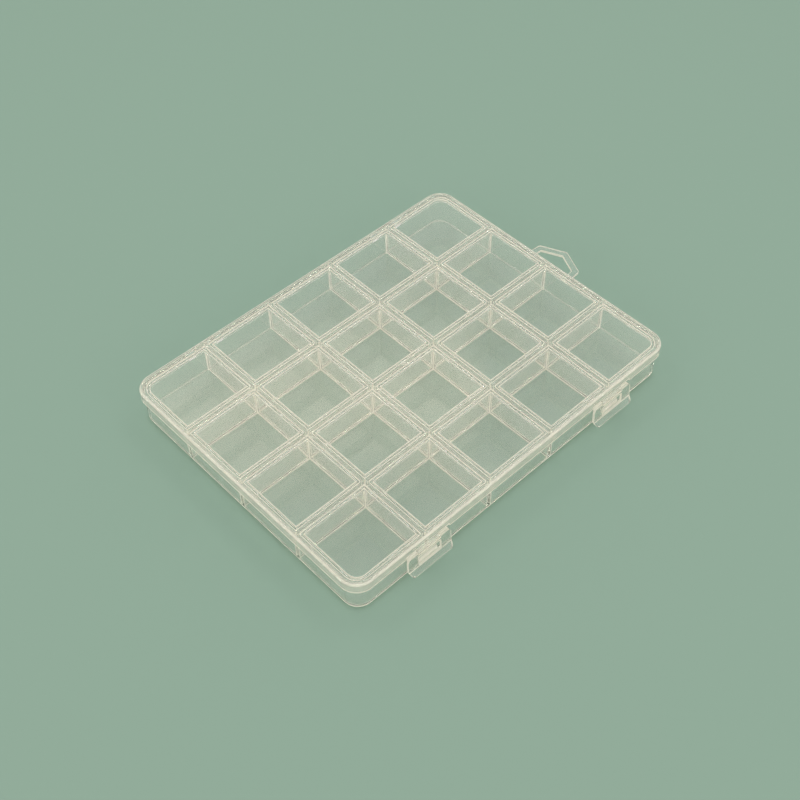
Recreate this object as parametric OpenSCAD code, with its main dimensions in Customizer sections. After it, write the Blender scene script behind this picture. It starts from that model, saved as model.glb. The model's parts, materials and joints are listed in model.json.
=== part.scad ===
// Flat hinged box with twenty compartments for beads and small parts.
// Long side along X, latches on the front (-Y), hinge at the back (+Y), hang tab at +X.
// Z = 0 is the underside of the tray; the lid is modelled closed.

/* [Compartments] */
// Compartments along the long side
cols = 5; // [3:1:6]
// Compartments along the short side
rows = 4; // [2:1:5]
// Spacing of the compartments along X
pitch_x = 40; // [34:1:48]
// Spacing of the compartments along Y
pitch_y = 38.4; // [34:0.2:48]
// Divider thickness at its top edge
divider_top_t = 1.2; // [0.8:0.1:1.6]
// Divider thickness where it meets the floor
divider_base_t = 1.8; // [1.6:0.1:2.4]
// How far the dividers stop below the rim of the tray
divider_drop = 0.3; // [0.2:0.1:1]

/* [Tray] */
// Height of the tray's outer wall above its underside
tray_h = 18.7; // [16:0.1:30]
// Floor thickness
floor_t = 1.2; // [0.8:0.1:2]
// Outer wall thickness
wall_t = 1.1; // [0.8:0.1:1.4]
// Radius of the tray's outer corners, in plan
tray_corner_r = 8.1; // [6:0.1:12]

/* [Lid] */
// Thickness of the lid's top
lid_t = 1.2; // [0.9:0.1:1.6]
// Gap between the closed lid and the tray's rim
seat_gap = 0.1; // [0.05:0.05:0.2]
// Thickness of the skirt
skirt_t = 1.1; // [0.9:0.1:1.4]
// Gap between the skirt and the tray's wall
skirt_gap = 0.25; // [0.2:0.05:0.5]
// Depth of the skirt below the lid's top, on the front and the two ends
skirt_h = 4.8; // [4:0.1:6]
// Depth of the skirt at the back, short so that it swings past the tray
rear_skirt_h = 3.2; // [2:0.1:3.3]
// Depth of the plug ring over each compartment
ring_h = 2.4; // [1.5:0.1:2.5]
// Wall thickness of a plug ring
ring_t = 1.4; // [0.8:0.1:1.8]
// Gap between a plug ring and the divider beside it
ring_gap = 0.47; // [0.3:0.01:0.8]
// Extra gap behind the rear rings, which swing backwards as the lid lifts
rear_ring_gap = 0.5; // [0.5:0.05:0.8]

/* [Rear hinge] */
// Hinge axis behind the lid's outer face
hinge_out = 0.9; // [0.9:0.05:1.1]
// Hinge axis below the lid's top face
hinge_down = 3.8; // [3.6:0.05:3.9]
// Diameter of the hinge pin
hinge_pin_d = 1.2; // [1:0.1:1.4]
// Clearance all round the hinge pin
hinge_clear = 0.08; // [0.05:0.01:0.12]
// Outer diameter of the hinge barrels
hinge_barrel_d = 2.3; // [2.2:0.1:2.4]
// Length of the lid's barrel
lid_barrel_l = 12; // [8:1:16]
// Length of each of the tray's two ears
ear_l = 4; // [3:0.5:6]
// Side gap between an ear and the barrel
ear_gap = 0.3; // [0.2:0.05:0.5]

/* [Latches] */
// Width of a latch
latch_w = 25.5; // [20:0.5:30]
// Thickness of the latch plate
latch_t = 1.2; // [1:0.1:1.4]
// Height of the bend, where the finger lip starts, above the tray's underside
bend_z = 5.2; // [4:0.1:6]
// Lean of the latch plate, from its pivot to the bend
latch_lean = 0.6; // [0.4:0.1:0.9]
// Reach of the finger lip in front of the bend
lip_out = 2.6; // [1.5:0.1:4]
// Drop of the finger lip below the bend
lip_drop = 3.0; // [2:0.1:3.5]
// Corner radius of the latch plate and lip
latch_corner_r = 3; // [1:0.1:3.5]
// Width of the window in the latch
window_w = 13.6; // [10:0.2:16]
// Height of the bar between the window and the lid's barrel
latch_bar_h = 1.2; // [0.8:0.1:1.6]
// Diameter of the lid's latch barrel
latch_barrel_d = 2.1; // [2:0.1:2.3]
// Diameter of the latch's stub pins
stub_d = 1.0; // [0.8:0.1:1.1]
// Length of each stub pin
stub_l = 2; // [1:0.1:3]
// Clearance all round a stub pin, and beside the barrel
stub_clear = 0.08; // [0.05:0.01:0.12]
// Side gap between the barrel and the latch's arms
arm_gap = 0.2; // [0.15:0.05:0.3]
// Gap between the latch and the notch in the skirt
notch_gap = 0.3; // [0.25:0.05:0.5]
// Width of a catch on the tray
catch_w = 11.2; // [8:0.2:12]
// Height of a catch
catch_h = 3.2; // [2:0.1:3.5]
// Gap between the tip of a catch and the latch's lower bar
catch_gap = 0.2; // [0.15:0.05:0.3]

/* [Hang tab] */
// Half of the tab's width where it leaves the lid
tab_root = 14.4; // [11:0.1:20]
// Half of the tab's width at its shoulders
tab_shoulder = 13.6; // [10:0.1:19]
// Distance of the shoulders from the lid
tab_shoulder_x = 8.8; // [7:0.1:12]
// Reach of the tab from the lid's face to its peak
tab_reach = 15.2; // [13:0.1:20]
// Width of the band
tab_band = 3.1; // [2:0.1:4]
// Thickness of the tab
tab_t = 1.5; // [1:0.1:2]
// Rounding of the tab's outer corners
tab_round = 1.5; // [0.5:0.1:2]

/* [Hidden] */
$fn = 64;

grid_x = cols * pitch_x;                          // grid lines run from -grid_x/2 to +grid_x/2
grid_y = rows * pitch_y;
wall_in = divider_top_t / 2;                      // inner face of the wall, inside the outer grid line
wall_out = wall_t - wall_in;                      // outer face of the wall, outside that line
skirt_in = wall_out + skirt_gap;                  // inner face of the skirt, outside that line
skirt_out = skirt_in + skirt_t;                   // outer face of the skirt and lid, outside that line
lid_corner_r = tray_corner_r + skirt_out - wall_out;
skirt_corner_r = tray_corner_r + skirt_in - wall_out;
cell_corner_r = tray_corner_r - wall_t;
lid_under = tray_h + seat_gap;                    // height of the lid's underside
lid_top_z = lid_under + lid_t;
skirt_z = lid_under - skirt_h;                    // height of the skirt's lower edge
rear_skirt_z = lid_under - rear_skirt_h;
divider_z = tray_h - divider_drop;
ring_out = wall_in + ring_gap;                    // outer face of a ring from the grid line
ring_corner_r = cell_corner_r - ring_gap;
latch_x = grid_x / 2 - pitch_x;                   // the latches sit on the outermost column dividers
hinge_x = latch_x;                                // the hinges sit opposite them
rear_cut_y = grid_y / 2 + wall_out - tray_corner_r / 2; // the skirt is short behind this line
hinge_y = grid_y / 2 + skirt_out + hinge_out;
hinge_z = lid_top_z - hinge_down;
ear_h = hinge_barrel_d;
barrel_w = window_w - 2 * arm_gap;                // the lid's latch barrel fills the top of the latch
latch_y = -grid_y / 2 - skirt_out - stub_clear;   // latch pivot, just outside the skirt's face
latch_z = skirt_z;                                // latch pivot, at the skirt's lower edge
arm_r = latch_barrel_d / 2;
plate_y = latch_y - arm_r + latch_t;              // inner face of the latch plate below its pivot
bend_y = plate_y - latch_lean;                    // inner face of the latch plate at the bend
notch_top = latch_z + arm_r + notch_gap;
barrel_gap_z = latch_z - arm_r - notch_gap;       // lower end of the gap between the latch's arms
window_z = bend_z + catch_gap;                    // lower edge of the latch's window
notch_w = latch_w + 2 * notch_gap;
lip_normal = [-lip_drop, lip_out] / norm([lip_out, lip_drop]); // direction of the lip's outer face
lip_mitre = tan(atan2(lip_out, lip_drop) / 2);    // rise of the bend's outer edge for a unit of thickness
catch_tip_y = bend_y + catch_gap;
catch_z = window_z + catch_gap;                   // the catch starts just above the latch's lower bar
catch_nose = catch_h / 4;                         // flat nose of the catch, below its ramp
wall_face_y = -grid_y / 2 - wall_out;
tab_z = skirt_z;                                  // the tab's underside is level with the skirt's edge
tab_inner_round = tab_round / 3;                  // rounding of the loop's inner corners
lid_face_x = grid_x / 2 + skirt_out;
clear_col = [0.86, 0.91, 0.86];
overcut = 1;                                      // how far a cutter reaches past what it cuts
stub_root = 0.5;                                  // length of a stub pin inside its arm

// A rectangle with rounded corners, as a flat shape.
module rounded(w, d, r) {
    square([w - 2 * r, d], center = true);
    square([w, d - 2 * r], center = true);
    for (sx = [-1, 1], sy = [-1, 1])
        translate([sx * (w / 2 - r), sy * (d / 2 - r)]) circle(r);
}

// The outline of the grid, grown by a margin, with rounded corners.
module outline(margin, r) {
    rounded(grid_x + 2 * margin, grid_y + 2 * margin, r);
}

// A bar along X with the given profile, drawn as [y, z] points.
module along_x(length, points) {
    translate([-length / 2, 0, 0])
        rotate([90, 0, 90]) linear_extrude(length) polygon(points);
}

// Round bar along X.
module rod_x(length, d) {
    translate([-length / 2, 0, 0]) rotate([0, 90, 0]) cylinder(d = d, h = length);
}

// ---- Tray ----

module tray_floor() {
    color(clear_col) linear_extrude(floor_t) outline(wall_out, tray_corner_r);
}

module tray_wall() {
    color(clear_col) translate([0, 0, floor_t])
        linear_extrude(tray_h - floor_t) difference() {
            outline(wall_out, tray_corner_r);
            outline(-wall_in, cell_corner_r);
        }
}

// Divider plates taper from the floor to their top edge, as moulded.
function divider_profile() = [
    [-divider_base_t / 2, floor_t], [divider_base_t / 2, floor_t],
    [divider_top_t / 2, divider_z], [-divider_top_t / 2, divider_z]];

module row_plate(k) {
    translate([0, -grid_y / 2 + k * pitch_y, 0])
        along_x(grid_x - 2 * wall_in, divider_profile());
}

module row_divider(k) {
    color(clear_col) row_plate(k);
}

module column_divider(k) {
    color(clear_col) difference() {
        translate([-grid_x / 2 + k * pitch_x, 0, 0]) rotate([0, 0, 90])
            along_x(grid_y - 2 * wall_in, divider_profile());
        for (j = [1:rows - 1]) row_plate(j);
    }
}

// A ramp on the front wall that the latch's lower bar rides over and sits under.
module catch_ramp() {
    along_x(catch_w, [
        [wall_face_y, catch_z], [catch_tip_y, catch_z],
        [catch_tip_y, catch_z + catch_nose], [wall_face_y, catch_z + catch_h]]);
}

module latch_catches() {
    color(clear_col) for (side = [-1, 1]) translate([side * latch_x, 0, 0]) catch_ramp();
}

// Two ears with the pin between them, moulded on the rear wall.
module ear_pair() {
    rear_face = grid_y / 2 + wall_out;
    for (side = [-1, 1])
        translate([side * (lid_barrel_l / 2 + ear_gap + ear_l / 2), 0, 0]) {
            translate([0, hinge_y, hinge_z]) rod_x(ear_l, ear_h);
            translate([-ear_l / 2, rear_face, hinge_z - ear_h / 2])
                cube([ear_l, hinge_y - rear_face, ear_h]);
        }
    translate([0, hinge_y, hinge_z]) rod_x(lid_barrel_l + 2 * ear_gap + ear_l, hinge_pin_d);
}

module tray_hinge_ears() {
    color(clear_col) for (side = [-1, 1]) translate([side * hinge_x, 0, 0]) ear_pair();
}

// ---- Lid ----

module lid_top() {
    color(clear_col) translate([0, 0, lid_under])
        linear_extrude(lid_t) outline(skirt_out, lid_corner_r);
}

module lid_skirt() {
    color(clear_col) difference() {
        translate([0, 0, skirt_z]) linear_extrude(skirt_h) difference() {
            outline(skirt_out, lid_corner_r);
            outline(skirt_in, skirt_corner_r);
        }
        // the back is cut short, corners and all, so that it swings past the tray
        translate([-grid_x / 2 - 2 * skirt_out, rear_cut_y, skirt_z - overcut])
            cube([grid_x + 4 * skirt_out, 2 * tray_corner_r, rear_skirt_z - skirt_z + overcut]);
        // notches for the tray's ears
        for (side = [-1, 1], ear = [-1, 1])
            translate([side * hinge_x + ear * (lid_barrel_l / 2 + ear_gap + ear_l / 2), 0, 0])
                translate([-ear_l / 2 - ear_gap, grid_y / 2, rear_skirt_z - overcut])
                    cube([ear_l + 2 * ear_gap, 2 * skirt_out,
                          hinge_z + ear_h / 2 + ear_gap - rear_skirt_z + overcut]);
        // notches for the latches' arms
        for (side = [-1, 1])
            translate([side * latch_x - notch_w / 2, -grid_y / 2 - 2 * skirt_out, skirt_z - overcut])
                cube([notch_w, 2 * skirt_out, notch_top - skirt_z + overcut]);
    }
}

// One plug ring; the four outer corners of the set follow the tray's round corners.
module plug_ring(i, j) {
    back = j == rows - 1 ? rear_ring_gap : 0;
    w = pitch_x - 2 * ring_out;
    d = pitch_y - 2 * ring_out - back;
    corner = [i == 0 ? -1 : i == cols - 1 ? 1 : 0, j == 0 ? -1 : j == rows - 1 ? 1 : 0];
    translate([-grid_x / 2 + (i + 0.5) * pitch_x, -grid_y / 2 + (j + 0.5) * pitch_y - back / 2,
               lid_under - ring_h])
        linear_extrude(ring_h) difference() {
            ring_shape(w, d, ring_corner_r, corner);
            ring_shape(w - 2 * ring_t, d - 2 * ring_t, ring_corner_r - ring_t, corner);
        }
}

// A rectangle whose one named corner, if any, is round.
module ring_shape(w, d, r, corner) {
    if (corner[0] != 0 && corner[1] != 0) {
        translate([-corner[0] * r / 2, 0]) square([w - r, d], center = true);
        translate([0, -corner[1] * r / 2]) square([w, d - r], center = true);
        translate([corner[0] * (w / 2 - r), corner[1] * (d / 2 - r)]) circle(r);
    } else {
        square([w, d], center = true);
    }
}

module plug_rings_row(j) {
    color(clear_col) for (i = [0:cols - 1]) plug_ring(i, j - 1);
}

module lid_hinge_barrels() {
    rear_face = grid_y / 2 + skirt_out;
    color(clear_col) for (side = [-1, 1]) translate([side * hinge_x, 0, 0])
        difference() {
            union() {
                translate([0, hinge_y, hinge_z]) rod_x(lid_barrel_l, hinge_barrel_d);
                translate([-lid_barrel_l / 2, rear_face, hinge_z])
                    cube([lid_barrel_l, hinge_out, hinge_barrel_d / 2]);
            }
            translate([0, hinge_y, hinge_z])
                rod_x(lid_barrel_l + overcut, hinge_pin_d + 2 * hinge_clear);
            translate([-hinge_x, -overcut, 0])
                cube([2 * hinge_x, rear_face + overcut, lid_top_z]);
        }
}

module lid_latch_barrels() {
    color(clear_col) for (side = [-1, 1]) translate([side * latch_x, 0, 0])
        difference() {
            union() {
                translate([0, latch_y, latch_z]) rod_x(barrel_w, latch_barrel_d);
                translate([-barrel_w / 2, -grid_y / 2 - skirt_out, latch_z])
                    cube([barrel_w, skirt_t, notch_top - latch_z]);
            }
            translate([0, latch_y, latch_z])
                rod_x(barrel_w + overcut, stub_d + 2 * stub_clear);
        }
}

// Outward normal of the edge from a to b, on an outline drawn anticlockwise.
function outward(a, b) = [b[1] - a[1], a[0] - b[0]] / norm(b - a);

// The corners of a convex outline, moved inwards by d from both of their edges.
function inset_corners(points, d) = [for (i = [0:len(points) - 1])
    let (b = points[i],
         m = outward(points[(i + len(points) - 1) % len(points)], b),
         n = outward(b, points[(i + 1) % len(points)]))
    b - d * (m + n) / (1 + m * n)];

// A convex shape with round corners, from the centres of its corners.
module round_outline(centres, r) {
    last = len(centres) - 1;
    polygon([for (i = [0:last])
        let (b = centres[i], m = outward(centres[i == 0 ? last : i - 1], b),
             n = outward(b, centres[i == last ? 0 : i + 1]))
        each [b + r * m, b + r * n]]);
    for (p = centres) translate(p) circle(r);
}

// Outline of the hang tab, inset by a margin; it starts inside the lid.
module tab_outline(inset, r) {
    back = 2 * tab_band;
    back_half = tab_root + back * (tab_root - tab_shoulder) / tab_shoulder_x;
    points = [[-back, -back_half], [tab_shoulder_x, -tab_shoulder], [tab_reach, 0],
              [tab_shoulder_x, tab_shoulder], [-back, back_half]];
    round_outline(inset_corners(points, inset + r), r);
}

// Flat loop on the right-hand skirt, for a peg or a hook.
module hang_tab() {
    color(clear_col) translate([lid_face_x, 0, tab_z]) linear_extrude(tab_t)
        intersection() {
            difference() {
                tab_outline(0, tab_round);
                tab_outline(tab_band, tab_inner_round);
            }
            translate([0, -2 * tab_root]) square([2 * tab_reach, 4 * tab_root]);
        }
}

// ---- Latches ----

// Side view of a latch as [y, z] points: plate, bend and finger lip.
function latch_side() = [
    [plate_y, latch_z], [bend_y, bend_z], [bend_y - lip_out, bend_z - lip_drop],
    [bend_y - lip_out, bend_z - lip_drop] + latch_t * lip_normal,
    [bend_y - latch_t, bend_z + latch_t * lip_mitre], [plate_y - latch_t, latch_z]];

// Front view of a latch: rounded plate with its window.
module latch_front() {
    top = latch_z + arm_r;
    bottom = bend_z - lip_drop;
    difference() {
        translate([0, (top + bottom) / 2]) rounded(latch_w, top - bottom, latch_corner_r);
        translate([-window_w / 2, window_z])
            square([window_w, barrel_gap_z - latch_bar_h - window_z]);
        // the lid's barrel sits between the two arms
        translate([-window_w / 2, barrel_gap_z]) square([window_w, 4 * arm_r]);
    }
}

module latch() {
    color(clear_col) {
        intersection() {
            union() {
                along_x(latch_w, latch_side());
                translate([0, latch_y, latch_z]) rod_x(latch_w, latch_barrel_d);
            }
            translate([0, -grid_y / 4, 0]) rotate([90, 0, 0])
                linear_extrude(grid_y) latch_front();
        }
        for (arm = [-1, 1])
            translate([arm * (window_w / 2 - stub_l / 2 + stub_root / 2), latch_y, latch_z])
                rod_x(stub_l + stub_root, stub_d);
    }
}

module latch_left() {
    translate([-latch_x, 0, 0]) latch();
}

module latch_right() {
    translate([latch_x, 0, 0]) latch();
}

tray_floor();
tray_wall();
latch_catches();
tray_hinge_ears();
for (k = [1:rows - 1])
    row_divider(k);
for (k = [1:cols - 1])
    column_divider(k);
lid_top();
lid_skirt();
lid_hinge_barrels();
lid_latch_barrels();
hang_tab();
for (k = [1:rows])
    plug_rings_row(k);
latch_left();
latch_right();
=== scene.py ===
# Clear hinged box with twenty compartments: tray, lid and two latches, moulded in clear polypropylene.
# Shapes are worked out in millimetres, and turned to metres when a mesh is made.
import json
import math

import bmesh
import bpy
import numpy as np
from mathutils import Euler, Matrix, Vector
from mathutils.geometry import tessellate_polygon


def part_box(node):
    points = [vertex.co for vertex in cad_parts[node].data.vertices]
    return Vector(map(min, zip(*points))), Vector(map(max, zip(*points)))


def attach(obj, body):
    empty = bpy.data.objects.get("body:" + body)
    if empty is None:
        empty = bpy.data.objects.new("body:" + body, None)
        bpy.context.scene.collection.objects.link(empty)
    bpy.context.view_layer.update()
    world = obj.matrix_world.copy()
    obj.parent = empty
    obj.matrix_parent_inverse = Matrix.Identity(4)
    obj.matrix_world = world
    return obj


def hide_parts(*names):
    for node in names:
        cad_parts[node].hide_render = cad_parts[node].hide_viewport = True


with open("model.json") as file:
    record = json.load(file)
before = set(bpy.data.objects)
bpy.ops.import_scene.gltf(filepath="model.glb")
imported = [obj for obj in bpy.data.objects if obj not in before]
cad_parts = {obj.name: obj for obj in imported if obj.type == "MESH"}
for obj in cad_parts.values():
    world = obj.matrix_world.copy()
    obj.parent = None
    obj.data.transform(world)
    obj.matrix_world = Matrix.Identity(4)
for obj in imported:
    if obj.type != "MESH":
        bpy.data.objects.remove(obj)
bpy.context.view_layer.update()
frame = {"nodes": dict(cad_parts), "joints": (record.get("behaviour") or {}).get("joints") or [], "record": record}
mm = 0.001
print("frame loaded:", len(frame["nodes"]), "nodes")

# How milky the plastic is, from 0 for clear to 1 for white. Each point of a mesh carries its own value.
# Rounded edges, upright corners and the feet of walls are painted highlights: milk white where light catches them.
milkAndPaintedLightSettings = {
    "flat": 0.028,            # polished flats: the lid's top, the floors and the plug rings
    "outside": 0.05,          # outer face of the tray
    "wall": 0.12,             # walls of the compartments, milkier than the flats
    "edge": 1.00,             # painted highlight: rounded edges are milk white, for the light they catch
    "corner": 0.90,           # painted highlight, added along upright corners
}
milkAndPaintedLightName = "milkAndPaintedLight"


def boxOf(node):  # lowest and highest corner of a CAD node, in mm
    low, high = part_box(node)
    return np.array(low) / mm, np.array(high) / mm


cornerSigns = ((1, 1), (-1, 1), (-1, -1), (1, -1))     # a rectangle's corners, anticlockwise


# A rectangle with round corners, anticlockwise, each side moved outwards by grow. Each corner is
# centre + radius * (cos a, sin a) over a quarter turn, with 4 + 4 * the root of its radius points, however
# far it is moved. The third column is the root of sin(2a), 1 halfway round a corner and 0 on the straight
# sides. stops adds points on the straight sides.
def outline(half, radii, grow=0.0, stops=None):
    hx, hy = half[0] + grow, half[1] + grow
    smallest = 0.03                              # a moved corner keeps its points apart
    parts = []
    for k, (sx, sy) in enumerate(cornerSigns):
        turn = np.linspace(0, math.pi / 2, 4 + math.ceil(4 * math.sqrt(radii[k])))
        r = max(radii[k] + grow, smallest)
        a = turn + k * math.pi / 2
        x, y = sx * (hx - r) + r * np.cos(a), sy * (hy - r) + r * np.sin(a)
        parts.append(np.stack([x, y, np.sqrt(np.abs(np.sin(2 * turn)))], 1))
        if stops and k in stops:
            along = np.asarray(stops[k], float)
            level = np.full_like(along, (hy, -hx, -hy, hx)[k])
            side = [along, level] if k in (0, 2) else [level, along]
            parts.append(np.stack([*side, np.zeros_like(along)], 1))
    return np.concatenate(parts)


# An arc as rows of (sideways, up, cloudiness): radius * (cos a, sin a) between two angles in degrees.
# cloud holds its values at the start, halfway and at the end. The cloudiness goes evenly from the first to
# the last, plus a hump, (halfway - their mean) * the root of sin(pi * t).
def arc(radius, start, end, cloud=(0, 0, 0), steps=7):
    t = np.linspace(0, 1, steps + 1)
    a = np.radians(start + (end - start) * t)
    first, peak, last = cloud
    milk = first + (last - first) * t + (peak - (first + last) / 2) * np.sin(np.pi * t) ** 0.5
    return np.stack([radius * np.cos(a), radius * np.sin(a), milk], 1)


# Points of a circle: centre + radius * (cos a, sin a).
def circle(radius, centre=(0, 0), steps=40):
    a = np.linspace(0, 2 * math.pi, steps, endpoint=False)
    return np.asarray(centre, float) + radius * np.stack([np.cos(a), np.sin(a)], 1)


# A polygon whose corners are arcs: centre + r * (cos a, sin a), the centre r inside both edges.
def roundPolygon(corners, radii, steps=6):
    corners = np.asarray(corners, float)
    radii = np.broadcast_to(radii, len(corners))
    parts = []
    for before, here, after, r in zip(np.roll(corners, 1, 0), corners, np.roll(corners, -1, 0), radii):
        if r == 0:
            parts.append(here[None])
            continue
        u, v = [(p - here) / np.linalg.norm(p - here) for p in (before, after)]
        half = math.acos(np.clip(u @ v, -1, 1)) / 2
        centre = here + (u + v) / np.linalg.norm(u + v) * r / math.sin(half)
        first, last = [math.atan2(*(here + w * r / math.tan(half) - centre)[::-1]) for w in (u, v)]
        turn = (last - first + math.pi) % (2 * math.pi) - math.pi
        a = first + turn * np.linspace(0, 1, steps + 1)
        parts.append(centre + r * np.stack([np.cos(a), np.sin(a)], 1))
    return np.concatenate(parts)


class Shell:  # a closed mesh put together from loops of points, in mm
    def __init__(self):
        self.points, self.clouds, self.faces, self.count = [], [], [], 0

    def loop(self, points, z, cloud=0.0, paintedCornerHighlight=0.0):  # adds a loop and returns its point numbers
        points = np.asarray(points, float)
        corner = points[:, 2] if points.shape[1] > 2 else 0
        z = np.broadcast_to(np.asarray(z, float), len(points))
        self.points.append(np.column_stack([points[:, :2], z]))
        # the points' third column weights the painted highlight along upright corners
        self.clouds.append(np.broadcast_to(cloud + paintedCornerHighlight * corner, len(points)))
        self.count += len(points)
        return np.arange(self.count - len(points), self.count)

    def band(self, a, b):  # quads between two loops of the same length
        self.faces += np.stack([a, np.roll(a, -1), np.roll(b, -1), b], 1).tolist()

    def bands(self, loops):
        for a, b in zip(loops, loops[1:]):
            self.band(a, b)

    def sheet(self, rim, holes=()):  # fills a flat loop that may have holes
        allPoints = np.concatenate(self.points)
        loops = [rim, *holes]
        flat = [[Vector((x, y, 0)) for x, y in allPoints[loop][:, :2]] for loop in loops]
        self.faces += np.concatenate(loops)[np.array(tessellate_polygon(flat))].tolist()

    def piece(self, name):
        data = bpy.data.meshes.new(name)
        data.from_pydata((np.concatenate(self.points) * mm).tolist(), [], self.faces)
        cloud = data.attributes.new(milkAndPaintedLightName, "FLOAT", "POINT")
        cloud.data.foreach_set("value", np.concatenate(self.clouds).astype(np.float32))
        made = bpy.data.objects.new(name, data)
        bpy.context.scene.collection.objects.link(made)
        faceOutwards(made)
        return made


def faceOutwards(piece):
    made = bmesh.new()
    made.from_mesh(piece.data)
    bmesh.ops.remove_doubles(made, verts=made.verts, dist=1e-7)
    bmesh.ops.dissolve_degenerate(made, dist=1e-7, edges=made.edges)
    bmesh.ops.recalc_face_normals(made, faces=made.faces)
    made.to_mesh(piece.data)
    made.free()


# A flat outline with holes, carried straight along one axis from start to end, in mm. The outline's
# (u, v) become (x, y) for axis z, (y, z) for axis x, and (x, z) for axis y.
def extruded(name, rim, holes, start, end, axis, cloud=milkAndPaintedLightSettings["wall"]):
    shell = Shell()
    caps = []
    for level in (start, end):
        loops = [shell.loop(points, level, cloud) for points in (rim, *holes)]
        shell.sheet(loops[0], loops[1:])
        caps.append(loops)
    for low, high in zip(*caps):
        shell.band(low, high)
    order = {"z": [0, 1, 2], "x": [2, 0, 1], "y": [0, 2, 1]}[axis]
    shell.points = [np.concatenate(shell.points)[:, order]]
    return shell.piece(name)


# Rounds the edges that are sharper than limit degrees, and paints a highlight along them: points that touch only
# the rounding, or faces turned away from the axis across the sheet, get the milk white of a painted edge
# highlight, and all others the piece's own milkiness. change(points, milk) may alter that from the points' places.
def rounded(piece, width, cloud=milkAndPaintedLightSettings["outside"], across=None, change=None, limit=35, segments=4):
    for slot in range(2):                        # the bevel marks its faces with the second one
        piece.data.materials.append(None)
    bevel = piece.modifiers.new("moulded edges", "BEVEL")
    bevel.width, bevel.segments, bevel.limit_method = width * mm, segments, "ANGLE"
    bevel.angle_limit, bevel.material = math.radians(limit), 1
    data = evaluated(piece)
    turnedAway = 0.5                             # cosine of the least angle to the axis across the sheet
    flatFaces = np.zeros(len(data.vertices))
    for face in data.polygons:
        getsPaintedHighlight = face.material_index == 1 or (across is not None and abs(face.normal[across]) < turnedAway)
        flatFaces[face.vertices] += not getsPaintedHighlight
        face.material_index = 0
    milk = np.where(flatFaces == 0, milkAndPaintedLightSettings["edge"], cloud)
    if change:
        milk = change(np.array([v.co for v in data.vertices]) / mm, milk)
    data.attributes[milkAndPaintedLightName].data.foreach_set("value", milk.astype(np.float32))
    piece.data = data
    return piece


def evaluated(piece):  # the piece's mesh with its modifiers applied
    data = bpy.data.meshes.new_from_object(piece.evaluated_get(bpy.context.evaluated_depsgraph_get()))
    piece.modifiers.clear()
    return data


def unite(piece, extras, operation="UNION"):  # joins extras to a piece, or keeps what both share
    group = bpy.data.collections.new("joinedTo" + piece.name)
    for extra in extras:
        group.objects.link(extra)
    joint = piece.modifiers.new("joint", "BOOLEAN")
    joint.operation, joint.solver = operation, "MANIFOLD"
    joint.operand_type, joint.collection = "COLLECTION", group
    piece.data = evaluated(piece)
    for extra in extras:
        bpy.data.objects.remove(extra)
    bpy.data.collections.remove(group)
    return piece


def finished(piece, body, replaced, material, smoothUnder=32):  # smooth curves, flat flats, and its place
    piece.data.shade_smooth()
    piece.data.set_sharp_from_angle(angle=math.radians(smoothUnder))
    weighted = piece.modifiers.new("flat faces stay flat", "WEIGHTED_NORMAL")
    weighted.weight, weighted.keep_sharp = 100, True
    piece.data.materials.clear()
    piece.data.materials.append(material)
    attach(piece, body)
    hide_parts(*replaced)
    print(piece.name, "has", len(piece.data.polygons), "faces")
    return piece


# places worked out from the frame
wallHigh, earHigh, hingeHigh = [boxOf(n)[1] for n in ("tray_wall", "tray_hinge_ears", "lid_hinge_barrels")]
skirtLow = boxOf("lid_skirt")[0]
floorLow, floorHigh = boxOf("tray_floor")
topLow, topHigh = boxOf("lid_top")
catchLow, catchHigh = boxOf("latch_catches")
barrelLow, barrelHigh = boxOf("lid_latch_barrels")
tabLow, tabHigh = boxOf("hang_tab")
latchLow, latchHigh = boxOf("latch_right")
columnNames = sorted(n for n in frame["nodes"] if n.startswith("column_divider_"))
rowNames = sorted(n for n in frame["nodes"] if n.startswith("row_divider_"))
ringNames = sorted(n for n in frame["nodes"] if n.startswith("plug_rings_row_"))
columnLines = [sum(boxOf(n)[i][0] for i in (0, 1)) / 2 for n in columnNames]
rowLines = [sum(boxOf(n)[i][1] for i in (0, 1)) / 2 for n in rowNames]
pitchX = columnLines[1] - columnLines[0]
pitchY = rowLines[1] - rowLines[0]
gridHalf = np.array([(len(columnLines) + 1) * pitchX, (len(rowLines) + 1) * pitchY]) / 2
dividerTop = boxOf(rowNames[0])[1][2]
latchX = (latchLow[0] + latchHigh[0]) / 2
sides = (-latchX, latchX)                     # the latches, catches and hinges sit at these two places
cells = [(i, j) for j in range(len(rowLines) + 1) for i in range(len(columnLines) + 1)]
joints = {j["child"]: np.array(j["pos_m"]) / mm for j in frame["joints"]}
hingeY, hingeZ = joints["lid"][1:]
latchY, latchZ = joints["latch_left"][1:]


def cellCentre(i, j):
    return np.array([(i + 0.5) * pitchX, (j + 0.5) * pitchY]) - gridHalf


# Along x and along y: -1 or 1 where a compartment stands at one of the box's own walls, else 0.
def boxSides(i, j):
    return tuple(-1 if place == 0 else 1 if place == last else 0
                 for place, last in ((i, len(columnLines)), (j, len(rowLines))))


# Corner radii in the order of outline(): only the box's own corner of a corner cell is big.
def cellRadii(i, j, plain, big):
    return [big if boxSides(i, j) == corner else plain for corner in cornerSigns]


# Which points of a compartment's outline lie on the box's own wall, and which of them in its corner.
def onBoxWall(i, j, points, half, corners):
    signs = np.array(boxSides(i, j))
    inside = half - points[:, :2] * signs
    onSide = ((inside < min(corners) / 2) & (signs != 0)).any(1)
    inCorner = (inside < max(corners)).all(1) & signs.all()
    return onSide | inCorner, inCorner


gateSettings = {
    "dishWidth": 2.8,
    "dishDepth": 0.30,
    "nubWidth": 1.0,
    "nubHeight": 0.24,
    "nubArc": (10, 84),       # degrees, from the nub's foot to its flat top
    "cloud": 0.45,
    "rings": (7, 6),          # in the dish and on the nub
    "points": 28,             # in each ring
}


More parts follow.
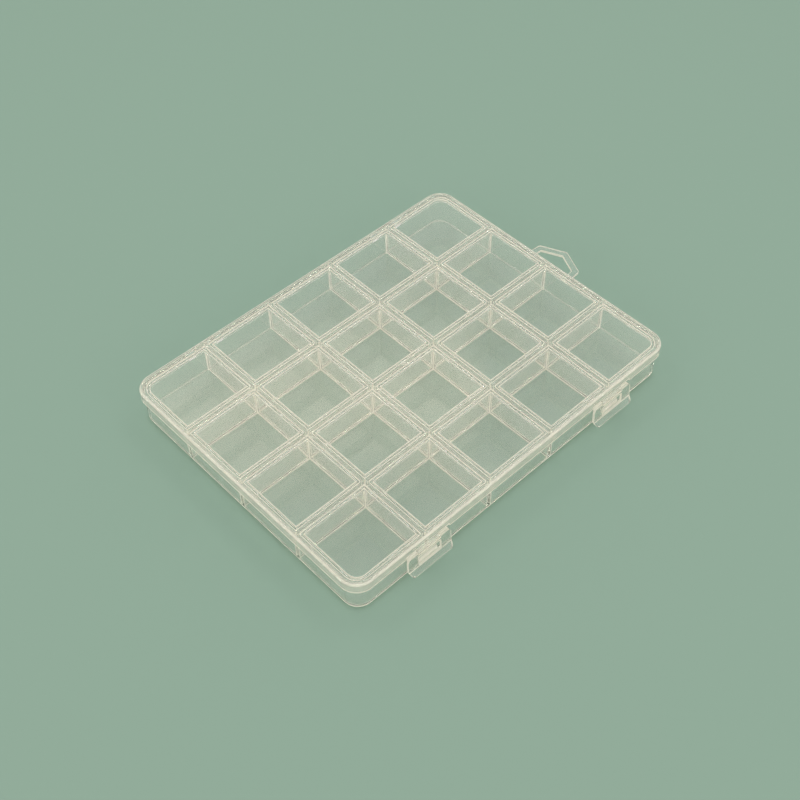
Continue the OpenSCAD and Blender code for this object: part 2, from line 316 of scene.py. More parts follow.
# The mark where the plastic entered the mould: a shallow dish with a broken-off nub in its middle, as rings
# of (radius, depth). While the dish's radius goes evenly down to the nub's, its depth is d * sin(t) squared
# over a quarter turn of t. The nub is a dome: its radius * cos a, and d - its height * sin a.
def gateMark(shell, level, inwards, s):
    out, nub = s["dishWidth"] / 2, s["nubWidth"] / 2
    dishRings, nubRings = s["rings"]
    t = np.linspace(0, math.pi / 2, dishRings)
    a = np.radians(np.linspace(*s["nubArc"], nubRings))
    radius = np.concatenate([np.linspace(out, nub, dishRings), nub * np.cos(a)])
    depth = np.concatenate([s["dishDepth"] * np.sin(t) ** 2, s["dishDepth"] - s["nubHeight"] * np.sin(a)])
    milk = np.concatenate([[0], np.full(len(radius) - 1, s["cloud"])])
    rings = [shell.loop(circle(r, steps=s["points"]), level + inwards * d, c)
             for r, d, c in zip(radius, depth, milk)]
    shell.bands(rings)
    shell.sheet(rings[-1])
    return rings[0]


traySettings = {
    "outerDraft": 0.15,       # the wall leans in by this much at the bottom
    "bottomRound": 1.2,       # edge between the wall and the underside
    "footLine": 0.4,          # the wall's lowest part is a painted highlight line, milky over this height, and fades over as much again
    "farLine": 0.25,          # and this share as milky on the back and the right-hand end
    "rimRound": 0.3,
    "paintedRimHighlight": 0.3,          # painted highlight on the rim's roundings, which the lid's own bright lines outshine
    "seatStep": 0.2,          # the rim's inner edge, inside the outer grid line
    "cornerRadius": 8.1,
    "cellRound": 0.25,        # top edges of the dividers
    "cellDraft": 0.3,         # the compartments narrow by this much on each side
    "cellCorner": 0.9,        # upright inner corners
    "floorRound": 0.45,       # edge between the walls and the floor
    "outerCellCorner": 7.0,
    # painted highlight along the dividers' rounded tops
    "paintedLipHighlight": 0.3,
    "paintedFootHighlight": 1.0,         # painted highlight: the foot of the walls shows as a thin cream line
    "footSpill": 0.2,         # which fades over this width on the floor, and twice as much up the wall
    "outerMilk": 0.12,        # the inside of the box's own wall has this share of a divider's milk
    "catchNose": 0.25,        # the share of a catch's height that is its flat tip
    "catchRound": 0.25,
    # the catches are almost white: their milk, and a painted highlight for the light they catch in the window
    "catchMilkAndPaintedHighlight": 0.9,
    "earRound": 0.3,
    "earGap": 0.3,            # between an ear and the lid's barrel
    "pinRadius": 0.6,
    "rootDepth": 0.6,         # how far the catches and ears reach into the wall
}


# Wall, floor, dividers and compartments as one shell: the outside is a profile of (outwards, up, milkiness)
# carried round the outline, from the underside up to the rim and down to the dividers' tops. The milkiness paints
# highlight lines along the bottom edge, the foot of the wall and the rim.
def makeTray(s):
    flat, outside, edge = (milkAndPaintedLightSettings[k] for k in ("flat", "outside", "edge"))
    shell = Shell()
    half, top = wallHigh[:2], wallHigh[2]
    radii = [s["cornerRadius"]] * 4
    r, rim = s["bottomRound"], s["rimRound"]
    rimWidth = wallHigh[0] - gridHalf[0] + s["seatStep"]
    profile = np.concatenate([
        arc(r, -90, 0, (flat, edge, edge)) + [-r - s["outerDraft"], r, 0],
        [[-s["outerDraft"], r + s["footLine"], edge], [-s["outerDraft"], r + 2 * s["footLine"], outside]],
        arc(rim, 0, 90, (outside, s["paintedRimHighlight"], flat)) + [-rim, top - rim, 0],
        arc(rim / 2, 90, 180, (flat, s["paintedRimHighlight"], flat)) + [-rimWidth + rim / 2, top - rim / 2, 0],
        [[-rimWidth, dividerTop, flat]]])
    loops = []
    for grow, z, milk in profile:
        points = outline(half, radii, grow)
        # The painted highlight lines are fainter on the back and the right-hand end.
        farSide = (points[:, :2] > half - s["cornerRadius"] / 2).any(1)
        clearer = (1 - s["farLine"]) * farSide * (milk > outside)
        loops.append(shell.loop(points, z, milk + (flat - milk) * clearer))
    shell.bands(loops)
    shell.sheet(loops[0], [gateMark(shell, floorLow[2], 1, gateSettings)])
    shell.sheet(loops[-1], addCompartments(shell, s))
    return unite(shell.piece("trayMoulding"), [*makeCatches(s), *makeEars(s)])


# Each compartment is a profile of (outwards, up, milkiness) carried round its mouth, from the dividers' tops
# down to the floor. The box's own walls are clearer; painted highlights run along the dividers' tops, the walls'
# feet and the upright inner corners. Returns the mouths.
def addCompartments(shell, s):
    flat, wall, corner = (milkAndPaintedLightSettings[k] for k in ("flat", "wall", "corner"))
    wallInside = boxOf(rowNames[0])[1][0] - gridHalf[0]      # negative: inside the outer grid line
    cellHalf = np.array([pitchX, pitchY]) / 2 + wallInside
    lip, foot, floorTop = s["cellRound"], s["floorRound"], floorHigh[2]
    profile = np.concatenate([
        arc(lip, 90, 180, (flat, s["paintedLipHighlight"], wall)) + [lip, dividerTop - lip, 0],
        [[-s["cellDraft"], floorTop + foot + 2 * s["footSpill"], wall]],
        arc(foot, 0, -90, [s["paintedFootHighlight"]] * 3) + [-foot - s["cellDraft"], floorTop + foot, 0],
        [[-foot - s["cellDraft"] - s["footSpill"], floorTop, flat]]])
    mouths = []
    for i, j in cells:
        corners = cellRadii(i, j, s["cellCorner"], s["outerCellCorner"])
        rings = []
        for grow, z, milk in profile:
            points = outline(cellHalf, corners, grow)
            onSide, inCorner = onBoxWall(i, j, points, cellHalf + grow, corners)
            ofWall = milk + (1 - s["outerMilk"]) * (flat - milk) * onSide
            paintedUprightHighlight = corner * (milk > flat) * ~inCorner
            rings.append(shell.loop(points + [*cellCentre(i, j), 0], z, ofWall, paintedUprightHighlight))
        shell.bands(rings)
        shell.sheet(rings[-1])
        mouths.append(rings[0])
    return mouths


# Ramps on the front wall: flat tip below, slope above, drawn as (y, z).
def makeCatches(s):
    width = catchHigh[0] - sides[1]
    low, high, front = catchLow[2], catchHigh[2], catchLow[1]
    nose = (high - low) * s["catchNose"]
    back, slope = catchHigh[1] + s["rootDepth"], (high - low - nose) / (catchHigh[1] - front)
    ramp = [(back, low), (back, high + slope * s["rootDepth"]), (front, low + nose), (front, low)]
    return [rounded(extruded("catch", ramp, [], x - width, x + width, "x"), s["catchRound"], s["catchMilkAndPaintedHighlight"])
            for x in sides]


# Ears on the rear wall with the hinge pin between them: a bar with a half-round end, drawn as (y, z).
def makeEars(s):
    r = earHigh[2] - hingeZ
    barrelHalf, outer = hingeHigh[0] - sides[1], earHigh[0] - sides[1]
    inner = barrelHalf + s["earGap"]
    start = wallHigh[1] - s["rootDepth"]
    nose = arc(r, -90, 90, steps=20)[:, :2] + [hingeY, hingeZ]
    profile = np.concatenate([nose, [(start, hingeZ + r), (start, hingeZ - r)]])
    made = []
    for x in sides:
        for a, b in ((x - outer, x - inner), (x + inner, x + outer)):
            made.append(rounded(extruded("ear", profile, [], a, b, "x"), s["earRound"]))
        reach = (inner + outer) / 2
        pin = circle(s["pinRadius"], (hingeY, hingeZ), steps=24)
        made.append(extruded("hingePin", pin, [], x - reach, x + reach, "x"))
    return made


lidSettings = {
    "edgeRound": 1.15,        # upper outer edge
    "rimBand": 0.2,           # painted highlight: the lid's face gets milkier over this width, up to its edge
    "paintedRimHighlight": (0.1, 0.75),  # painted highlight on the edge's rounding, where it starts and halfway down it
    "lipRound": 0.3,          # lower edge of the skirt
    "lipLine": 0.5,           # painted highlight line: the skirt is milky this far above its lower edge, and fades over as much again
    "rootRound": 0.25,        # where the skirt and the rings meet the top plate
    "ringRound": 0.3,
    "ringInset": 0.30,        # the rings stand inside the CAD's, and the painted highlight lines at their roots reach its faces
    "ringDraft": 0.1,
    "ringThickness": 1.1,
    "ringCorner": 0.6,
    "outerRingCorner": 6.53,
    "cornerRadius": 9.45,
    "skirtThickness": 1.1,
    "skirtCloud": 0.06,       # outside; the inside is milkier
    "skirtInside": 0.30,
    "lineSpill": (0.1, 0.5),  # the painted highlight line along a ring's root reaches on over the plate and down the wall
    "lineFade": 1.5,          # and is gone at so many times that distance
    # painted highlight along the rings' bottom edges
    "paintedRingBottomHighlight": 0.25,
    "notchGap": 0.3,
    "notchBlend": 0.9,        # width of the curve at each side of a latch's notch
    "earNotchBlend": 0.36,
    "rearEdge": 15.6,         # height of the skirt's lower edge at the back
    "rearStart": 73.2,        # where the skirt turns short
    "rearBlend": 1.2,
    "boreRadius": {"hinge": 0.68, "latch": 0.58},
    "barrelRound": 0.15,
    # the barrels' milk, raised above the flats' as a painted sheen along them
    "barrelMilkAndPaintedSheen": 0.15,
    "rootDepth": 0.5,         # how far the barrels' webs and the tab reach into the skirt
}


# The skirt's lower edge, which is full depth in front and short at the back, with smooth steps up to the
# notches: the points that the straight sides of its outline need, and a function for its height at (x, y).
def skirtEdge(s):
    notchHalf, notchTop = latchHigh[0] - latchX + s["notchGap"], barrelHigh[2]
    earIn, earOut = hingeHigh[0] - latchX, earHigh[0] - latchX + s["notchGap"]
    earTop = earHigh[2] + s["notchGap"]

    def places(reaches, blend):  # seven points in each step, at these reaches from the middle of each notch
        steps = np.array([c + e * reach for c in sides for e in (-1, 1) for reach in reaches])
        return np.sort((steps[:, None] + np.linspace(-0.5, 0.5, 7) * blend).ravel())

    def step(distance, width):  # 3t^2 - 2t^3, from 0 to 1 as distance goes from -width/2 to width/2
        t = np.clip(distance / width + 0.5, 0, 1)
        return t * t * (3 - 2 * t)

    def height(xy):
        x, y = xy[:, 0], xy[:, 1]
        aside = np.abs(np.abs(x) - latchX)
        front = (y < 0) * step(notchHalf - aside, s["notchBlend"])
        back = step(y - s["rearStart"], s["rearBlend"])
        ears = (y > 0) * step(aside - earIn, s["earNotchBlend"]) * step(earOut - aside, s["earNotchBlend"])
        z = skirtLow[2] + front * (notchTop - skirtLow[2]) + back * (s["rearEdge"] - skirtLow[2])
        return z + ears * (earTop - s["rearEdge"])

    stops = {0: places((earIn, earOut), s["earNotchBlend"])[::-1], 2: places([notchHalf], s["notchBlend"])}
    return stops, height


# Top plate, skirt and plug rings as one shell: a profile of (outwards, up, milkiness) carried round the
# outline, from the lid's face over its edge, down the skirt, and up inside it to the underside of the plate. The
# milkiness paints highlights on the edge's rounding and along the skirt's lower edge.
def makeLid(s):
    flat, edge = milkAndPaintedLightSettings["flat"], milkAndPaintedLightSettings["edge"]
    shell = Shell()
    half, top, under = topHigh[:2], topHigh[2], topLow[2]
    radii = [s["cornerRadius"]] * 4
    stops, height = skirtEdge(s)

    def lidLoop(grow, z, milk):
        return shell.loop(outline(half, radii, grow, stops), z, milk)

    def skirtLoop(grow, above, milk):  # its height counts from the skirt's lower edge
        xy = outline(half, radii, grow, stops)
        return shell.loop(xy, height(xy) + above, milk)

    thick, lip, root = s["skirtThickness"], s["lipRound"], s["rootRound"]
    skirt, inside = s["skirtCloud"], s["skirtInside"]
    r, innerCorner = s["edgeRound"], [-thick - root, under - root, 0]
    loops = [lidLoop(-r - s["rimBand"], top, flat)]
    loops += [lidLoop(*row) for row in arc(r, 90, 0, (*s["paintedRimHighlight"], skirt)) + [-r, top - r, 0]]
    loops += [skirtLoop(0, lip + s["lipLine"] * k, milk) for k, milk in ((2, skirt), (1, edge))]
    loops += [skirtLoop(*row) for row in arc(lip, 0, -90, (edge, edge, flat)) + [-lip, lip, 0]]
    loops += [skirtLoop(*row) for row in arc(lip, -90, -180, (flat, edge, inside)) + [-thick + lip, lip, 0]]
    loops += [lidLoop(*row) for row in arc(root, 0, 90, (inside, edge, flat)) + innerCorner]
    shell.bands(loops)
    shell.sheet(loops[0], [gateMark(shell, top, -1, gateSettings)])
    shell.sheet(loops[-1], addRings(shell, s))
    return unite(shell.piece("lidMoulding"), [*makeLatchBarrels(s), *makeHingeBarrels(s),
                                              makeHangTab(tabSettings, s["rootDepth"])])


# Each ring is a profile of (outwards, up, milkiness) carried round its outline: from the plate down the
# outside, across the bottom, up the inside and back to the plate. Painted highlight lines run along its roots and
# bottom edges. Returns the loops where the plate ends.
def addRings(shell, s):
    flat, edge, under = milkAndPaintedLightSettings["flat"], milkAndPaintedLightSettings["edge"], topLow[2]
    rows = [boxOf(n) for n in ringNames]
    roots = []
    root, r, draft = s["rootRound"], s["ringRound"], s["ringDraft"]
    wide, milk = s["ringThickness"], s["paintedRingBottomHighlight"]
    onPlate, onWall = s["lineSpill"]
    bottom, fade = rows[0][0][2], s["lineFade"]
    # the ring's root, with a painted highlight line that spills over the plate and down the wall
    rootWithPaintedLine = np.array([[root + fade * onPlate, under, flat], [root + onPlate, under, edge],
                          *(arc(root, 90, 180, (edge, edge, edge)) + [root, under - root, 0]),
                          [0, under - root - onWall, edge], [0, under - root - fade * onWall, flat]])
    profile = np.concatenate([
        rootWithPaintedLine,
        arc(r, 0, -90, (flat, milk, flat)) + [-draft - r, bottom + r, 0],
        arc(r, -90, -180, (flat, milk, flat)) + [-wide + draft + r, bottom + r, 0],
        (rootWithPaintedLine * [-1, 1, 1] - [wide, 0, 0])[::-1]])
    for i, j in cells:
        low, high = rows[j]
        centre = np.array([cellCentre(i, j)[0], (low[1] + high[1]) / 2, 0])
        ringHalf = np.array([pitchX / 2 - (gridHalf[0] - high[0]), (high[1] - low[1]) / 2]) - s["ringInset"]
        corners = cellRadii(i, j, s["ringCorner"], s["outerRingCorner"])
        rings = [shell.loop(outline(ringHalf, corners, grow) + centre, z, milk)
                 for grow, z, milk in profile]
        shell.bands(rings)
        shell.sheet(rings[-1])
        roots.append(rings[0])
    return roots


# The latch's barrel under the skirt: a tube on a web, drawn as (y, z). The arc runs from the web's outer face
# down round the tube to its inner side.
def makeLatchBarrels(s):
    r, half = latchZ - barrelLow[2], barrelHigh[0] - sides[1]
    face, back, top = topLow[1], topLow[1] + s["skirtThickness"], barrelHigh[2] + s["rootDepth"]
    start = math.degrees(math.acos((face - latchY) / r))
    tube = arc(r, start, 360, steps=36)[:, :2] + [latchY, latchZ]
    profile = np.concatenate([tube, [(back, latchZ), (back, top), (face, top)]])
    bore = circle(s["boreRadius"]["latch"], (latchY, latchZ), steps=32)
    return [rounded(extruded("latchBarrel", profile, [bore], x - half, x + half, "x"),
                    s["barrelRound"], s["barrelMilkAndPaintedSheen"])
            for x in sides]


# The hinge's barrel on the back of the skirt: a tube cut off by the skirt's face, drawn as (y, z).
def makeHingeBarrels(s):
    r, half = hingeHigh[2] - hingeZ, hingeHigh[0] - sides[1]
    face = topHigh[1]
    turn = math.degrees(math.acos((hingeY - face) / r))
    tube = arc(r, turn - 180, 90, steps=36)[:, :2] + [hingeY, hingeZ]
    inside = face - s["rootDepth"]
    profile = np.concatenate([tube, [(inside, hingeZ + r), (inside, s["rearEdge"] + s["lipRound"])]])
    bore = circle(s["boreRadius"]["hinge"], (hingeY, hingeZ), steps=32)
    return [rounded(extruded("hingeBarrel", profile, [bore], x - half, x + half, "x"),
                    s["barrelRound"], s["barrelMilkAndPaintedSheen"])
            for x in sides]


tabSettings = {
    "shoulderX": 8.8,         # from the lid's face
    "shoulderHalf": 13.6,
    "rootHalf": 14.4,
    "band": 3.1,
    "outerRound": 1.5,
    "innerRound": 0.5,
    "edgeRound": 0.4,
}


# A flat band along the outline root, shoulder, peak, shoulder, root; its inner edge is the outer one moved
# in along the mitre, b - band * (m + n) / (1 + m.n) for the outward normals m and n. The outline starts well
# inside the lid, and the band is cut off at rootDepth behind the lid's face.
def makeHangTab(s, rootDepth):
    face = topHigh[0]
    slope = (s["rootHalf"] - s["shoulderHalf"]) / s["shoulderX"]
    rootX, back = -rootDepth, 2 * s["band"]
    rootHalf, backHalf = s["rootHalf"] - slope * rootX, s["rootHalf"] + slope * back
    outer = np.array([(-back, -backHalf), (s["shoulderX"], -s["shoulderHalf"]), (tabHigh[0] - face, 0),
                      (s["shoulderX"], s["shoulderHalf"]), (-back, backHalf)])
    along = np.diff(outer, axis=0)
    normals = np.stack([along[:, 1], -along[:, 0]], 1) / np.linalg.norm(along, axis=1)[:, None]
    m, n = normals[:-1], normals[1:]
    inner = outer[1:-1] - s["band"] * (m + n) / (1 + (m * n).sum(1))[:, None]
    innerHalf = rootHalf - s["band"] * math.hypot(1, slope)
    rim = np.concatenate([[(rootX, -rootHalf)], outer[1:-1], [(rootX, rootHalf), (rootX, innerHalf)],
                          inner[::-1], [(rootX, -innerHalf)]])
    radii = [0, *[s["outerRound"]] * 3, 0, 0, *[s["innerRound"]] * 3, 0]
    return rounded(extruded("hangTab", roundPolygon(rim, radii) + [face, 0], [], tabLow[2], tabHigh[2], "z"),
                   s["edgeRound"], across=2)


latchSettings = {
    "thickness": 1.2,
    "lean": 0.6,              # the plate stands out by this much at the bend
    "bendZ": 5.2,             # height of the bend, where the finger lip begins
    "lipOut": 2.6,            # the lip's tip stands out by this much more
    "windowWidth": 13.6,
    "windowLow": 5.4,
    "windowHigh": 11.45,
    "slotLow": 12.65,         # the lid's barrel turns in the slot above this height
    "cornerRadius": 3.8,
    "windowRound": 0.6,
    "bendRound": 1.6,
    "bendLine": 0.2,          # half the width of the painted highlight line along the bend
    "tipHeight": 1.2,         # the lip's end is clearer up to here
    "tipCloud": 0.3,
    "tipRound": 0.5,
    "edgeRound": 0.5,
    "stubRadius": 0.5,
    "stubLength": 2.0,        # free of the arm
    "stubRoot": 0.5,          # inside the arm
}


# Side view (y, z) carried along x, cut to the front view (x, z), with a rod through the arms and a stub pin
# on the inner side of each arm.
def makeLatch(name, x, s):
    r = latchHigh[2] - latchZ
    half, low, high = latchHigh[0] - latchX, latchLow[2], latchHigh[2]
    t, bendZ = s["thickness"], s["bendZ"]
    plate = latchY - r + t
    bend, tip = plate - s["lean"], plate - s["lean"] - s["lipOut"]
    normal = np.array([low - bendZ, s["lipOut"]]) / math.hypot(s["lipOut"], bendZ - low)
    rise = t * math.tan(math.atan2(s["lipOut"], bendZ - low) / 2)
    side = [(plate, latchZ), (bend, bendZ), (tip, low), np.array([tip, low]) + t * normal,
            (bend - t, bendZ + rise), (plate - t, latchZ)]
    radii = [0, s["bendRound"] + t, s["tipRound"], s["tipRound"], s["bendRound"], 0]
    # the front view is cut a little larger in height, so that the rounded tip and rods keep their own shape
    w, q, spare = s["windowWidth"] / 2, s["windowRound"], 0.05
    base, top, slot = low - spare, high + spare, s["slotLow"]
    front = roundPolygon(
        [(-half, base), (half, base), (half, top), (w, top), (w, slot), (-w, slot), (-w, top), (-half, top)],
        [s["cornerRadius"]] * 3 + [q] * 4 + [s["cornerRadius"]])
    window = roundPolygon(
        [(-w, s["windowLow"]), (w, s["windowLow"]), (w, s["windowHigh"]), (-w, s["windowHigh"])], q)
    latch = extruded(name, roundPolygon(side, radii), [], x - half, x + half, "x")
    rod = extruded("rod", circle(r, (latchY, latchZ), steps=36), [], x - half, x + half, "x")
    unite(latch, [rod])
    unite(latch, [extruded("frontView", front + [x, 0], [window + [x, 0]], tip - t, plate + 2 * r, "y")],
          "INTERSECT")
    stubs = []
    for arm in (-1, 1):
        ends = sorted((x + arm * (w - s["stubLength"]), x + arm * (w + s["stubRoot"])))
        pin = circle(s["stubRadius"], (latchY, latchZ), steps=24)
        stubs.append(extruded("stubPin", pin, [], *ends, "x"))

    # A painted highlight line along the bend, and a clearer end to the lip.
    def paintedBendLineAndClearTip(points, milk):
        onPaintedBendLine = np.abs(points[:, 2] - bendZ - rise * (bend - points[:, 1]) / t) < s["bendLine"]
        atTip = points[:, 2] < low + s["tipHeight"]
        return np.where(onPaintedBendLine, milkAndPaintedLightSettings["edge"], np.where(atTip, np.minimum(milk, s["tipCloud"]), milk))

    faceOutwards(latch)
    rounded(latch, s["edgeRound"], across=1, change=paintedBendLineAndClearTip)
    return unite(latch, stubs)


# sRGB hex to linear: c / 12.92 below 0.04045, else ((c + 0.055) / 1.055) to the power 2.4
def linear(hexColour):
    values = [int(hexColour[i:i + 2], 16) / 255 for i in (1, 3, 5)]
    return tuple(c / 12.92 if c <= 0.04045 else ((c + 0.055) / 1.055) ** 2.4 for c in values) + (1.0,)


# Adds a node: settings are its attributes, links its inputs, by name or number, from other nodes' outputs,
# and values its unlinked inputs.
def addNode(tree, kind, settings=None, links=None, **values):
    node = tree.nodes.new(kind)
    for name, value in (settings or {}).items():
        setattr(node, name, value)
    for name, value in values.items():
        node.inputs[name.replace("_", " ")].default_value = value
    for name, source in (links or {}).items():
        tree.links.new(source, node.inputs[name])
    return node


plasticSettings = {
    "tint": "#FEFEFD",
    "milk": "#FCF6EA",
    "letThrough": 0.40,            # share of the milk's light that comes from behind it
    "cloudChange": (0.85, 1.15),   # least and most of the cloudiness, over the surface
    "roughness": (0.0, 0.012),
    "noiseRange": (0.35, 0.65),    # the noise that stands for least and most
    "index": 1.49,                 # polypropylene
    "waveSize": 14.0,              # mm, sink marks and flow waves of a moulded plate
    "waveDepth": 0.012,            # mm
    "cloudSize": 9.0,              # mm
    "shadowTint": "#FEFEFE",
}


# Clear polypropylene, injection moulded: glossy and faintly milky, with slow waves in its flat faces. The
# milkiness that each mesh point carries also paints highlights, milk white, along edges, corners and lines. Light
# on its way to a lamp, or from a matte or milky spot, passes straight through the clear part, so that what is
# inside and under the box is lit.
def clearPolypropylene(name, s):
    material = bpy.data.materials.new(name)
    material.use_nodes = True
    tree = material.node_tree
    tree.nodes.clear()
    place = addNode(tree, "ShaderNodeTexCoord").outputs["Object"]
    waves = addNode(tree, "ShaderNodeTexNoise", None, {"Vector": place},
                    Scale=1 / (s["waveSize"] * mm), Detail=1.5, Roughness=0.45).outputs["Fac"]
    bump = addNode(tree, "ShaderNodeBump", None, {"Height": waves},
                   Strength=1.0, Distance=s["waveDepth"] * mm).outputs["Normal"]
    patches = addNode(tree, "ShaderNodeTexNoise", None, {"Vector": place},
                      Scale=1 / (s["cloudSize"] * mm), Detail=4.0, Roughness=0.6).outputs["Fac"]
    low, high = s["noiseRange"]
    rough, change = [addNode(tree, "ShaderNodeMapRange", None, {"Value": patches},
                             From_Min=low, From_Max=high, To_Min=least, To_Max=most).outputs["Result"]
                     for least, most in (s["roughness"], s["cloudChange"])]
    cloud = addNode(tree, "ShaderNodeAttribute", {"attribute_name": milkAndPaintedLightName}).outputs["Fac"]
    share = addNode(tree, "ShaderNodeMath", {"operation": "MULTIPLY", "use_clamp": True},
                    {0: cloud, 1: change})
    clear = addNode(tree, "ShaderNodeBsdfPrincipled", None, {"Roughness": rough, "Normal": bump},
                    Base_Color=linear(s["tint"]), IOR=s["index"], Transmission_Weight=1.0)
    passing = addNode(tree, "ShaderNodeBsdfTransparent", None, None, Color=linear(s["shadowTint"]))
    path = addNode(tree, "ShaderNodeLightPath").outputs
    straight = addNode(tree, "ShaderNodeMath", {"operation": "MAXIMUM"},
                       {0: path["Is Shadow Ray"], 1: path["Is Diffuse Ray"]})
    lit = addNode(tree, "ShaderNodeMixShader", None,
                  {"Fac": straight.outputs["Value"], 1: clear.outputs["BSDF"], 2: passing.outputs["BSDF"]})
    sentBack = addNode(tree, "ShaderNodeBsdfDiffuse", None, None, Color=linear(s["milk"]))
    letThrough = addNode(tree, "ShaderNodeBsdfTranslucent", None, None, Color=linear(s["milk"]))
    milk = addNode(tree, "ShaderNodeMixShader", None,
                   {1: sentBack.outputs["BSDF"], 2: letThrough.outputs["BSDF"]}, Fac=s["letThrough"])
    mixed = addNode(tree, "ShaderNodeMixShader", None,
                    {"Fac": share.outputs["Value"], 1: lit.outputs["Shader"], 2: milk.outputs["Shader"]})
    addNode(tree, "ShaderNodeOutputMaterial", None, {"Surface": mixed.outputs["Shader"]})
    return material


bodies = frame["record"]["behaviour"]["bodies"]
trayPlastic, lidPlastic, latchPlastic = [clearPolypropylene("clearPolypropylene" + kind, plasticSettings)
                                         for kind in ("Tray", "Lid", "Latch")]
finished(makeTray(traySettings), "tray", bodies["tray"], trayPlastic)
finished(makeLid(lidSettings), "lid", bodies["lid"], lidPlastic)
for side, x in zip(("left", "right"), sides):
    latch = makeLatch(side + "Latch", x, latchSettings)
    finished(latch, "latch_" + side, ["latch_" + side], latchPlastic)

floorSettings = {
    "colour": "#8FA999",
    "roughness": 0.9,
    "shine": 0.1,
    "size": 6.0,              # m
    "drop": 0.1,              # mm, so that the clear underside and the floor never share a plane
}


def makeFloor(s):  # a wide flat floor
    half, z = s["size"] / 2, -s["drop"] * mm
    data = bpy.data.meshes.new("floor")
    data.from_pydata([(x * half, y * half, z) for x, y in cornerSigns], [], [(0, 1, 2, 3)])
    floor = bpy.data.objects.new("floor", data)
    bpy.context.scene.collection.objects.link(floor)
    paint = bpy.data.materials.new("matteFloorPaint")
    paint.use_nodes = True
    shader = paint.node_tree.nodes["Principled BSDF"]
    shader.inputs["Base Color"].default_value = linear(s["colour"])
    shader.inputs["Roughness"].default_value = s["roughness"]
    shader.inputs["Specular IOR Level"].default_value = s["shine"]
    data.materials.append(paint)


skySettings = {
    "colour": "#FAFAF8",
    "top": 0.45,              # radiance straight up
    "horizon": 1.10,
    "glowColour": "#FFE9CC",  # a warm band high up, which the lid mirrors in soft patches
    "glowStrength": 0.8,
    "glowHeight": (0.73, 0.80),
    "glowSoft": 0.035,
    "patchScale": 5.0,        # of the noise that breaks up the band
    "patchEdge": (0.42, 0.58),
}


# The sky's radiance is horizon + (top - horizon) * z squared, for the height z of a direction, and the glow
# is a band between two heights, broken into patches by noise. A tent of this kind lights walls as well as
# floors.
def makeSky(s):
    world = bpy.data.worlds.new("paleSky")
    world.use_nodes = True
    tree = world.node_tree
    tree.nodes.clear()
    product, smooth = {"operation": "MULTIPLY"}, {"interpolation_type": "SMOOTHSTEP"}
    low, high = s["glowHeight"]
    soft, patchEdge = s["glowSoft"], s["patchEdge"]
    direction = addNode(tree, "ShaderNodeTexCoord").outputs["Generated"]
    z = addNode(tree, "ShaderNodeSeparateXYZ", None, {"Vector": direction}).outputs["Z"]
    squared = addNode(tree, "ShaderNodeMath", product, {0: z, 1: z}).outputs["Value"]
    plain = addNode(tree, "ShaderNodeMapRange", None, {"Value": squared},
                    To_Min=s["horizon"], To_Max=s["top"])
    rise = addNode(tree, "ShaderNodeMapRange", smooth, {"Value": z},
                   From_Min=low - soft, From_Max=low + soft)
    fall = addNode(tree, "ShaderNodeMapRange", smooth, {"Value": z},
                   From_Min=high + soft, From_Max=high - soft)
    noise = addNode(tree, "ShaderNodeTexNoise", None, {"Vector": direction},
                    Scale=s["patchScale"], Detail=2.0)
    patch = addNode(tree, "ShaderNodeMapRange", smooth, {"Value": noise.outputs["Fac"]},
                    From_Min=patchEdge[0], From_Max=patchEdge[1], To_Max=s["glowStrength"])
    band = addNode(tree, "ShaderNodeMath", product, {0: rise.outputs["Result"], 1: fall.outputs["Result"]})
    glow = addNode(tree, "ShaderNodeMath", product, {0: band.outputs["Value"], 1: patch.outputs["Result"]})
    tent = addNode(tree, "ShaderNodeBackground", None, {"Strength": plain.outputs["Result"]},
                   Color=linear(s["colour"]))
    warm = addNode(tree, "ShaderNodeBackground", None, {"Strength": glow.outputs["Value"]},
                   Color=linear(s["glowColour"]))
    both = addNode(tree, "ShaderNodeAddShader", None,
                   {0: tent.outputs["Background"], 1: warm.outputs["Background"]})
    addNode(tree, "ShaderNodeOutputWorld", None, {"Surface": both.outputs["Shader"]})
    bpy.context.scene.world = world


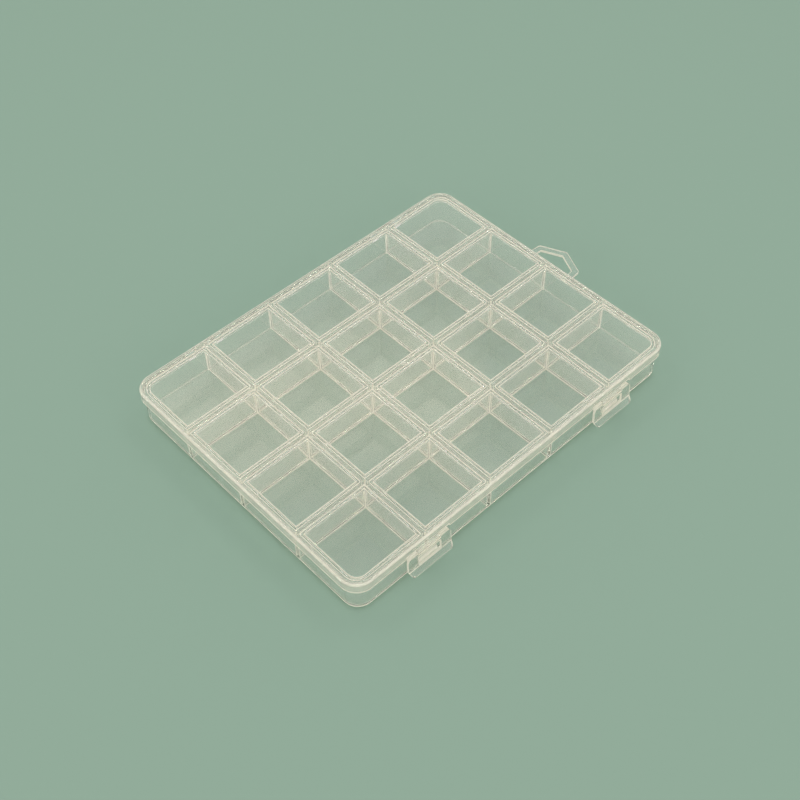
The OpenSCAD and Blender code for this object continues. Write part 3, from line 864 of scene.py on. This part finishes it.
lampSettings = {  # name: direction and height in degrees, distance and size in mm, power in W, colour
    "frontLeftSoftbox": (-178, 30, 1100, (450, 450), 1.1, "#FFFFFF"),
    "frontRightSoftbox": (-88, 30, 1100, (450, 450), 1.1, "#FFFFFF"),
    "backLeftSoftbox": (100, 57, 1070, (450, 350), 1.1, "#FFFFFF"),
    "backRightSoftbox": (-2, 61, 1010, (450, 350), 1.1, "#FFFFFF"),
}


# A rectangular lamp that looks at the origin from distance * (cos h cos a, cos h sin a, sin h).
def softbox(name, around, height, distance, size, power, colour):
    a, h = math.radians(around), math.radians(height)
    place = distance * mm * Vector((math.cos(h) * math.cos(a), math.cos(h) * math.sin(a), math.sin(h)))
    data = bpy.data.lights.new(name, "AREA")
    data.shape, data.size, data.size_y = "RECTANGLE", size[0] * mm, size[1] * mm
    data.energy, data.color = power, linear(colour)[:3]
    lamp = bpy.data.objects.new(name, data)
    lamp.location = place
    lamp.rotation_euler = (-place).to_track_quat("-Z", "Y").to_euler()
    lamp.visible_transmission = False        # no glints through the plastic, only on it
    bpy.context.scene.collection.objects.link(lamp)


cameraSettings = {
    "place": (-272.98, -295.05, 469.16),     # mm
    "turn": (40.161, 0.706, -43.334),        # degrees
    "lens": 57.01,                           # mm, as is the sensor
    "sensor": 36.0,
    "clip": (0.01, 50),                      # m
}


def makeCamera(s):
    data = bpy.data.cameras.new("camera")
    data.lens, data.sensor_width = s["lens"], s["sensor"]
    data.clip_start, data.clip_end = s["clip"]
    camera = bpy.data.objects.new("camera", data)
    camera.location = Vector(s["place"]) * mm
    camera.rotation_euler = Euler([math.radians(a) for a in s["turn"]])
    bpy.context.scene.collection.objects.link(camera)
    bpy.context.scene.camera = camera


makeFloor(floorSettings)
makeSky(skySettings)
for name, values in lampSettings.items():
    softbox(name, *values)
makeCamera(cameraSettings)
bpy.context.scene.view_settings.view_transform = "Standard"
cycles = bpy.context.scene.cycles
facesCrossed, facesPassed = 40, 64           # light meets many faces of the box before it gets out
cycles.max_bounces = cycles.transmission_bounces = cycles.glossy_bounces = facesCrossed
cycles.transparent_max_bounces = facesPassed
print("stage, lights and camera made")
